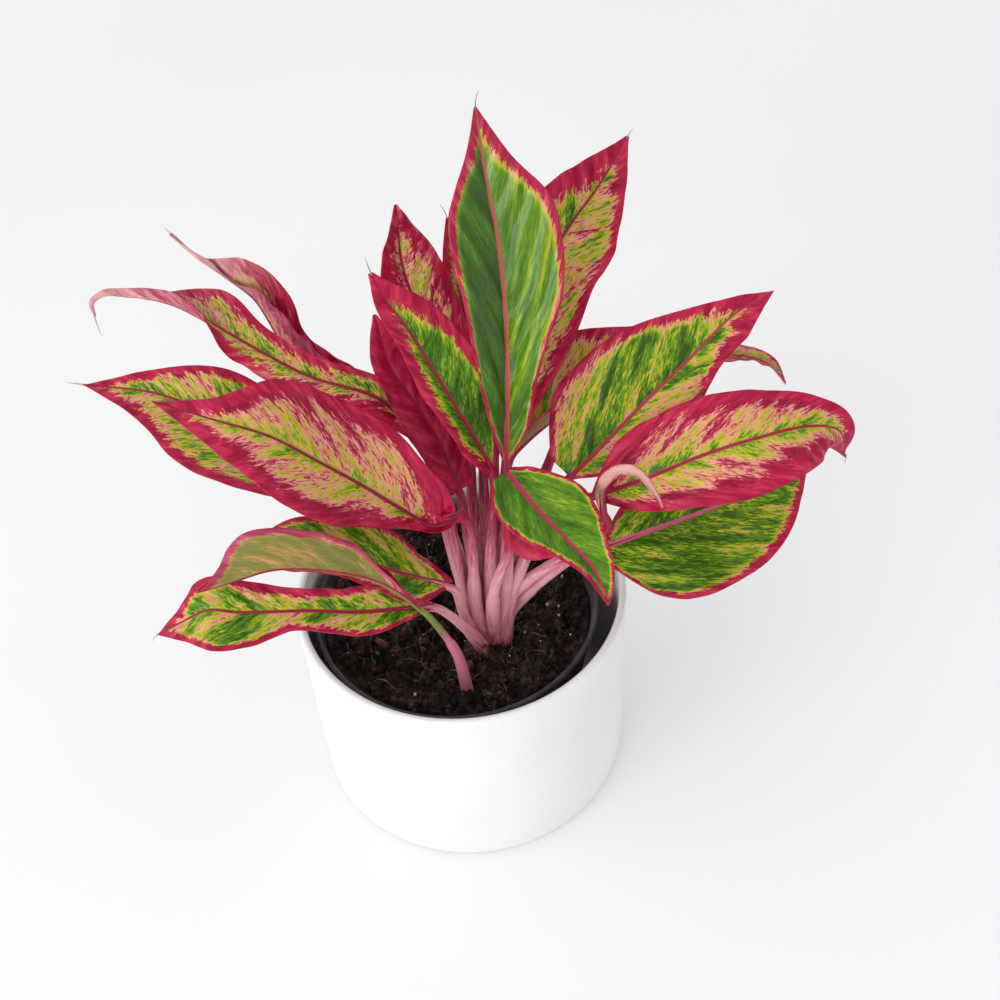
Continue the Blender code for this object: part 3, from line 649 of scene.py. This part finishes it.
def stalkSkin(name, look):
    # pale fleshy stalk: fine fibres run its length; the darker red-brown near the soil in the common
    # ramp is painted shade at the crowded foot, and the crimson near the blade is the stalk's own
    material, tree, shader = newMaterial("leaf stalk skin " + name, {
        "Roughness": 0.42, "IOR": 1.42, "Specular IOR Level": 0.45})
    field = addNode(tree, "Attribute", {"attribute_name": "stalkField"})
    parts = addNode(tree, "SeparateXYZ", None, {0: field.outputs["Vector"]})
    stretched = addNode(tree, "VectorMath", {"operation": "MULTIPLY"}, {
        0: field.outputs["Vector"], 1: (0.12, 1.6, 1.6)})
    fibre = addNode(tree, "TexNoise", None, {
        "Vector": stretched.outputs[0], "Scale": 1.0, "Detail": 4, "Roughness": 0.6})
    # share of the way up the stalk: at the soil it reads the ramp's low end, painted shade in the
    # common ramp
    flush = addNode(tree, "MapRange", None, {
        "Value": parts.outputs["X"], "From Min": 0.0, "From Max": look["flush"]})
    tone = addNode(tree, "Math", {"operation": "MULTIPLY_ADD"}, {
        0: fibre.outputs["Fac"], 1: 0.9, 2: flush.outputs[0]})
    tone = addNode(tree, "Math", {"operation": "SUBTRACT"}, {0: tone.outputs[0], 1: 0.45})
    colour = rampOf(tree, tone.outputs[0], look["stalk"])
    tree.links.new(colour, shader.inputs["Base Color"])
    bump = addNode(tree, "Bump", None, {
        "Height": fibre.outputs["Fac"], "Strength": 0.25, "Distance": 0.0004})
    tree.links.new(bump.outputs["Normal"], shader.inputs["Normal"])
    return material


def makeStalk(name, leaf, number):
    # the stalk rises from the soil and goes on as the ridge of the midrib under the blade
    rows, sides = petiole["rows"], petiole["round"]
    route = stalkRoute(leaf, rows)
    under = evenPath(leaf["path"], rows)[0]
    tangent = unit(np.gradient(under, axis=0))
    face = stationed(leaf["face"], np.linspace(0, 1, rows))
    face = unit(face - (face * tangent).sum(1, keepdims=True) * tangent)
    keep = int(rows * petiole["ribLength"])
    t = np.linspace(0, 1, rows)
    thick = leaf["stout"]
    rootRadius, neckRadius = petiole["rootRadius"] * thick, petiole["neckRadius"] * thick
    # the sheath wraps the lower part and ends in a step
    sheathEnd = leaf.get("sheath", petiole["sheath"][number % 4])
    sheath = np.clip((sheathEnd - t) / 0.012, 0, 1)
    stalkRadius = neckRadius + (rootRadius - neckRadius) * (1 - t) ** 1.5
    stalkRadius = stalkRadius + sheath * petiole["sheathStep"]
    ridge = neckRadius * np.linspace(*petiole["ridge"], rows) ** 1.2
    ridgePath = under - face * (ridge[:, None] * 0.75 + 0.5)
    route = np.concatenate([route[:-2], ridgePath[2:keep]])
    radius = np.concatenate([stalkRadius[:-2], ridge[2:keep]])
    count = len(route)
    distance = np.concatenate([[0], np.cumsum(np.linalg.norm(np.diff(route, axis=0), axis=1))])
    even = np.linspace(0, distance[-1], count)
    route = np.stack([np.interp(even, distance, route[:, k]) for k in range(3)], 1)
    radius = np.interp(even, distance, radius)
    radius[1:-1] = (radius[:-2] + 2 * radius[1:-1] + radius[2:]) / 4
    for step in range(petiole["smoothing"]):
        route[1:-1] = (route[:-2] + 2 * route[1:-1] + route[2:]) / 4
    inward = (*petiole["inside"], 0.0) - route
    inward[:, 2] = 0.0
    inward = unit(inward) + (0.0, 0.0, 0.35)
    points, angle = tube(route, radius, inward, sides, petiole["channel"])
    mesh, faces = closedTube(points)
    around = np.repeat(angle[None], count, 0)
    field = np.stack([np.repeat(even[:, None], sides, 1),
                      np.cos(around) * 3 + 9 * number, np.sin(around) * 3], -1)
    field = np.concatenate([field.reshape(-1, 3), [[0, 0, 0], [even[-1], 0, 0]]])
    skin = stalkSkin(name, leaf["look"])
    return addPiece("stalk_" + name, mesh * mm, faces, [skin], {"stalkField": field})


for number, (name, leaf) in enumerate(leaves.items()):
    settle(makeBlade(name, leaf, number), "blade_" + cadName(name))
    settle(makeStalk(name, leaf, number), "petiole_" + cadName(name))
print("leaves and stalks done:", len(leaves))


def turned(profile, centre, steps=192):
    # the outline (radius, height) is carried round the upright axis; points on the axis close it
    profile = np.array(profile, float)
    inner = profile[1:-1]
    angle = np.linspace(0, 2 * np.pi, steps, endpoint=False)
    ring = np.stack([inner[:, :1] * np.cos(angle) + centre[0],
                     inner[:, :1] * np.sin(angle) + centre[1],
                     np.repeat(inner[:, 1:], steps, 1)], -1)
    ends = np.array([(*centre, profile[0, 1]), (*centre, profile[-1, 1])])
    faces = [face[::-1] for face in closedFaces(len(inner), steps)]
    return np.concatenate([ring.reshape(-1, 3), ends]), faces


def bowed(radius, centre, start, end, count):
    a = np.radians(np.linspace(start, end, count + 1))
    return np.stack([centre[0] + radius * np.cos(a), centre[1] + radius * np.sin(a)], 1).tolist()


coverPot = {
    "radius": 70.0,
    "height": 102.0,
    "wall": 3.2,
    "floor": 5.0,
    "foot": 4.0,
}


def makeCoverPot():
    # slip-cast stoneware under a satin white glaze: even, with the faint dimples that glaze leaves
    lip = coverPot["wall"] / 2
    inner = coverPot["radius"] - coverPot["wall"]
    foot = coverPot["foot"]
    profile = [(0, coverPot["floor"]), (inner - foot, coverPot["floor"])]
    profile += bowed(foot, (inner - foot, coverPot["floor"] + foot), -90, 0, 6)
    profile += bowed(lip, (coverPot["radius"] - lip, coverPot["height"] - lip), 180, 0, 14)
    profile += bowed(foot, (coverPot["radius"] - foot, foot), 0, -90, 8)
    profile += [(0, 0)]
    points, faces = turned(profile, (0, 0))
    material = grained("satin glazed stoneware", {
        "Roughness": 0.42, "IOR": 1.5, "Coat Weight": 0.15, "Coat Roughness": 0.3},
        (22.0, 3, 0.5), ((0.3, "#e9e9ec"), (0.7, "#efeff1")), (450.0, 2, 0.5, 0.06, 0.0004))
    return addPiece("cover_pot", points * mm, faces, [material])


settle(makeCoverPot(), "outer_pot")

nurseryPot = {
    "top": 93.0,
    "topRadius": 60.0,
    "footRadius": 46.0,
    "wall": 1.2,
    "lip": 0.8,
    "centre": (-2.6, -0.6),
    "low": 5.3,
}


def makeNurseryPot():
    # thin blow-moulded polypropylene, black, its inside greyed by dried peat dust
    top, rim, foot = nurseryPot["top"], nurseryPot["topRadius"], nurseryPot["footRadius"]
    low, wall, lip = nurseryPot["low"], nurseryPot["wall"], rim + nurseryPot["lip"]
    profile = [(0, low + wall), (foot - wall - 2, low + wall), (foot - wall, low + wall + 2),
               (rim - wall - 0.2, top - 1.2), (rim - wall + 0.4, top - 0.2),
               (lip - 0.6, top), (lip, top - 0.6), (lip, top - 2.4), (rim, top - 2.4),
               (foot, low + 1), (foot - 1, low), (0, low)]
    points, faces = turned(profile, nurseryPot["centre"])
    material, tree, shader = newMaterial("black polypropylene", {"Roughness": 0.45, "IOR": 1.49})
    place = addNode(tree, "TexCoord")
    dust = addNode(tree, "TexNoise", None, {
        "Vector": place.outputs["Object"], "Scale": 60.0, "Detail": 6, "Roughness": 0.7})
    fine = addNode(tree, "TexNoise", None, {
        "Vector": place.outputs["Object"], "Scale": 900.0, "Detail": 3, "Roughness": 0.7})
    both = addNode(tree, "Math", {"operation": "MULTIPLY_ADD"}, {
        0: fine.outputs["Fac"], 1: 0.45, 2: dust.outputs["Fac"]})
    colour = rampOf(tree, both.outputs[0], ((0.45, "#1b191a"), (0.7, "#383436"), (0.95, "#5c5557")))
    tree.links.new(colour, shader.inputs["Base Color"])
    rough = addNode(tree, "MapRange", None, {
        "Value": both.outputs[0], "From Min": 0.4, "From Max": 0.9, "To Min": 0.35, "To Max": 0.8})
    tree.links.new(rough.outputs[0], shader.inputs["Roughness"])
    return addPiece("grower_pot", points * mm, faces, [material])


settle(makeNurseryPot(), "nursery_pot")
print("pots done")

peat = {
    "level": 85.5,
    "radius": 57.0,
    "centre": (-2.6, -0.6),
    "low": 6.8,
    "lowRadius": 44.0,
    "rings": 110,
    "steps": 300,
}


def soilHeight(x, y):
    # gentle mounds 30 mm across, lumps 10 mm across and grit 3.6 mm across
    rng = np.random.default_rng(5)
    at = np.stack([x, y], -1)
    return 1.7 * wobble(rng, at, 30) + 1.4 * wobble(rng, at, 10) + 0.8 * wobble(rng, at, 3.6)


def makeSoil():
    # a lumpy top over a plain tapered plug; the top is read off rings that grow outward
    cx, cy = peat["centre"]
    rings, steps = peat["rings"], peat["steps"]
    r = np.linspace(0.3, peat["radius"], rings)
    a = np.linspace(0, 2 * np.pi, steps, endpoint=False)
    x = cx + r[:, None] * np.cos(a)
    y = cy + r[:, None] * np.sin(a)
    calm = np.clip((peat["radius"] - r[:, None]) / 4, 0.35, 1)
    top = np.stack([x, y, peat["level"] - 0.5 + soilHeight(x, y) * calm], -1)
    r = np.array([[peat["radius"] - 0.6], [peat["lowRadius"]]])
    z = np.array([[peat["level"] - 6], [peat["low"]]]) + 0 * a
    side = np.stack([cx + r * np.cos(a), cy + r * np.sin(a), z], -1)
    ends = np.array([(cx, cy, float(top[0, :, 2].mean())), (cx, cy, peat["low"])])
    points = np.concatenate([top.reshape(-1, 3), side.reshape(-1, 3), ends])
    faces = [face[::-1] for face in closedFaces(rings + 2, steps)]
    return addPiece("peat", points * mm, faces, [peatMaterial("moist peat")])


def peatMaterial(name):
    # moist peat: nearly black, matt, with brown where it has dried
    return grained(name, {"Roughness": 0.6, "IOR": 1.4, "Specular IOR Level": 0.4}, (160.0, 8, 0.7), (
        (0.38, "#0b0706"), (0.5, "#1d1311"), (0.58, "#3d2b26"), (0.72, "#7a6056")),
        (900.0, 5, 0.7, 0.8, 0.0012))


def lumps(rng, count, low, high, squash):
    # one rounded lump of 26 points is copied: each copy gets its own size, turn and dents
    rows, sides = 4, 6
    v = np.linspace(0, np.pi, rows + 2)[1:-1, None]
    h = np.linspace(0, 2 * np.pi, sides, endpoint=False)
    ball = np.stack([np.sin(v) * np.cos(h), np.sin(v) * np.sin(h), np.cos(v) + 0 * h], -1)
    ball = np.concatenate([ball.reshape(-1, 3), [[0, 0, 1], [0, 0, -1]]])
    n = len(ball)
    size = low * (high / low) ** (rng.uniform(0, 1, count) ** 1.7)
    shape = rng.uniform(0.55, 1.0, (count, 1, 3)) * (1, 1, squash)
    dent = rng.uniform(0.72, 1.2, (count, n, 1))
    q = unit(rng.normal(size=(count, 4)))
    w, x, y, z = q.T
    # a random turn for each copy: the rotation matrix of the unit quaternion (w, x, y, z)
    turn = np.stack([
        1 - 2 * (y * y + z * z), 2 * (x * y - z * w), 2 * (x * z + y * w),
        2 * (x * y + z * w), 1 - 2 * (x * x + z * z), 2 * (y * z - x * w),
        2 * (x * z - y * w), 2 * (y * z + x * w), 1 - 2 * (x * x + y * y)], -1).reshape(count, 3, 3)
    cloud = np.einsum("nij,nkj->nki", turn, ball * dent * shape) * size[:, None, None]
    one = [face[::-1] for face in closedFaces(rows, sides)]
    return cloud, [[i + n * k for i in face] for k in range(count) for face in one], size


def scatter(rng, count, reach):
    # places on the soil, even by area
    r = reach * np.sqrt(rng.uniform(0, 1, count))
    a = rng.uniform(0, 2 * np.pi, count)
    x, y = peat["centre"][0] + r * np.cos(a), peat["centre"][1] + r * np.sin(a)
    return np.stack([x, y, peat["level"] - 0.5 + soilHeight(x, y)], -1)


litter = {
    # inset: distance kept from the rim. rise: height above the peat, as a share of the size
    "soil_crumbs": dict(seed=11, count=2600, low=0.5, high=3.0, squash=0.6, inset=2.0, rise=0.25),
    "perlite": dict(seed=12, count=70, low=0.35, high=1.3, squash=0.9, inset=6.0, rise=0.5),
    "bark_chips": dict(seed=13, count=26, low=1.6, high=5.6, squash=0.4, inset=6.0, rise=0.15),
}


def makeLitter(name, material, seed, count, low, high, squash, inset, rise):
    rng = np.random.default_rng(seed)
    cloud, faces, size = lumps(rng, count, low, high, squash)
    place = scatter(rng, count, peat["radius"] - inset)
    place[:, 2] += size * rise
    return addPiece(name, (cloud + place[:, None]) * mm, faces, [material])


fibres = {
    "count": 560,
    "rows": 7,
    "length": (4, 15),
    "radius": (0.06, 0.16),
    "bend": 0.9,      # spread of the turn from end to end, in radians
    "arch": 1.6,      # how far the middle may rise off the soil
}


def makeFibres():
    # dead roots and sedge: three-sided threads, each a bowed line that lies on the soil
    rng = np.random.default_rng(14)
    count, rows = fibres["count"], fibres["rows"]
    start = scatter(rng, count, peat["radius"] - 5.0)
    way = rng.uniform(0, 2 * np.pi, count)
    length = rng.uniform(*fibres["length"], count)
    bend = rng.normal(0, fibres["bend"], count)
    t = np.linspace(-0.5, 0.5, rows)
    angle = way[:, None] + bend[:, None] * t
    x = start[:, :1] + length[:, None] * t * np.cos(angle)
    y = start[:, 1:2] + length[:, None] * t * np.sin(angle)
    far = np.hypot(x - peat["centre"][0], y - peat["centre"][1]).max(1)
    keep = far < peat["radius"] - 1.5
    x, y, length = x[keep], y[keep], length[keep]
    count = len(x)
    z = peat["level"] + 0.2 + soilHeight(x, y)
    z = z + rng.uniform(0, fibres["arch"], (count, 1)) * (1 - 4 * t ** 2)
    middle = np.stack([x, y, z], -1)
    ahead = unit(np.gradient(middle, axis=1))
    across = unit(np.cross(ahead, np.array([0, 0, 1.0])))
    above = np.cross(across, ahead)
    radius = rng.uniform(*fibres["radius"], (count, 1, 1, 1))
    radius = radius * (1 - 0.6 * np.abs(2 * t))[:, None, None]
    spin = np.array([0, 2.094, 4.189])[:, None]
    ring = np.cos(spin) * across[:, :, None] + np.sin(spin) * above[:, :, None]
    points = middle[:, :, None] + ring * radius
    n = rows * 3
    one = [face[::-1] for face in gridFaces(rows, 3, True)] + [[0, 1, 2], [n - 1, n - 2, n - 3]]
    faces = [[i + n * k for i in face] for k in range(count) for face in one]
    tone = np.repeat(rng.uniform(0, 1, count), n)
    material, tree, shader = newMaterial("dead root fibre", {"Roughness": 0.75})
    field = addNode(tree, "Attribute", {"attribute_name": "toneField"})
    colour = rampOf(tree, field.outputs["Fac"], (
        (0.0, "#2a1b14"), (0.4, "#4a352c"), (0.75, "#7d6456"), (1.0, "#b8a394")))
    tree.links.new(colour, shader.inputs["Base Color"])
    return addPiece("root_fibres", points * mm, faces, [material], {"toneField": tone})


settle(makeSoil(), "soil")
# crumbs of the peat itself, chalk-white puffed perlite and brown bark chips
litterMaterials = {
    "soil_crumbs": peatMaterial("peat crumb"),
    "perlite": grained("perlite", {"Roughness": 0.85}, (700.0, 4, 0.5), (
        (0.3, "#8d8579"), (0.6, "#d8d3c8"))),
    "bark_chips": grained("pine bark chip", {"Roughness": 0.8}, (350.0, 6, 0.5), (
        (0.3, "#2c1a12"), (0.5, "#5a3524"), (0.7, "#8a5c40"))),
}
for name, material in litterMaterials.items():
    settle(makeLitter(name, material, **litter[name]), None)
settle(makeFibres(), None)
print("soil done")

dryTips = {
    "centre": (6, 0.3, 0.5),     # length, bend outward, bend to the side
    "leftInner": (6, -0.6, 0.4),
    "backCentre": (6, 0.2, -0.5),
    "farFront": (8, -1.0, 0.0),
    "leftLow": (9, -0.4, 0.2),
    "rightBroad": (5, -0.6, 0.2),
    "lowFront": (7, -0.8, 0.0),
    "backRight": (4, 0.1, 0.1),
    "farBack": (4, 0.2, 0.1),
}


def makeDryTips():
    # the leaf's drip tip dries to a grey thread that curls away from the blade
    clouds, faces, offset = [], [], 0
    for name, (length, lift, turn) in dryTips.items():
        path = evenPath(leaves[name]["path"], 40)[0]
        ahead = unit(path[-1] - path[-2])
        up = unit(np.array(leaves[name]["face"][-1], float))
        across = unit(np.cross(ahead, up))
        t = np.linspace(0, 1, 12)[:, None]
        bend = t ** 2 * (lift * up + turn * across) * 0.6
        line = path[-1] - ahead * 0.8 + length * (t * ahead + bend)
        radius = 0.28 * (1 - 0.75 * t[:, 0])
        mesh, found = closedTube(tube(line, radius, np.repeat(up[None], 12, 0), 6)[0])
        clouds.append(mesh)
        faces += [[i + offset for i in face] for face in found]
        offset += len(mesh)
    material = grained("dried leaf tip", {"Roughness": 0.7}, (300.0, 2, 0.5), (
        (0.3, "#6b5a55"), (0.7, "#b9a8a2")))
    return addPiece("dry_tips", np.concatenate(clouds) * mm, faces, [material])


settle(makeDryTips(), None)

studio = {
    "eye": (0.0189, -0.3516, 0.5111),
    "pitchDown": 45.6,
    "roll": -3.65,
    "lens": 45.76,
    "reach": 4.0,    # metres from the middle of the floor to its edges
    "sky": 0.82,
    "window": ((-0.95, -0.95, 0.45), 0.9, 8.0),    # place, size and watts
    "ceiling": ((-0.3, -0.2, 2.2), 2.4, 6.5),
    "target": (0, 0, 0.15),    # the point both lamps face
}


def makeStudio():
    pitch, roll = np.radians(studio["pitchDown"]), np.radians(studio["roll"])
    ahead = Vector((0, np.cos(pitch), -np.sin(pitch)))
    level = Vector((1, 0, 0))
    above = level.cross(ahead)
    right = level * np.cos(roll) + above * np.sin(roll)
    up = above * np.cos(roll) - level * np.sin(roll)
    camera = bpy.data.cameras.new("camera")
    camera.lens = studio["lens"]
    camera.sensor_width = 36
    camera.clip_start = 0.01
    eye = bpy.data.objects.new("camera", camera)
    turn = Matrix((right, up, -ahead)).transposed().to_4x4()
    eye.matrix_world = Matrix.Translation(studio["eye"]) @ turn
    scene.collection.objects.link(eye)
    scene.camera = eye

    corner = np.array([(-1, -1, 0), (1, -1, 0), (1, 1, 0), (-1, 1, 0)]) * studio["reach"]
    material = grained("matt paper backdrop", {"Roughness": 0.9, "Specular IOR Level": 0.1},
                       (3.0, 2, 0.5), ((0.3, "#f6f6f7"), (0.7, "#f9f9fa")))
    floor = addPiece("floor", corner, [(0, 1, 2, 3)], [material], None, False)

    for name in ("window", "ceiling"):
        place, wide, power = studio[name]
        lamp = bpy.data.lights.new(name, "AREA")
        lamp.energy = power
        lamp.size = wide
        light = bpy.data.objects.new(name, lamp)
        spot = Vector(place)
        turn = (spot - Vector(studio["target"])).to_track_quat("Z", "Y").to_matrix().to_4x4()
        light.matrix_world = Matrix.Translation(spot) @ turn
        scene.collection.objects.link(light)
    world = bpy.data.worlds.new("soft room")
    world.use_nodes = True
    sky = world.node_tree.nodes["Background"]
    sky.inputs["Color"].default_value = (1, 1, 1, 1)
    sky.inputs["Strength"].default_value = studio["sky"]
    scene.world = world
    scene.view_settings.view_transform = "Standard"


makeStudio()
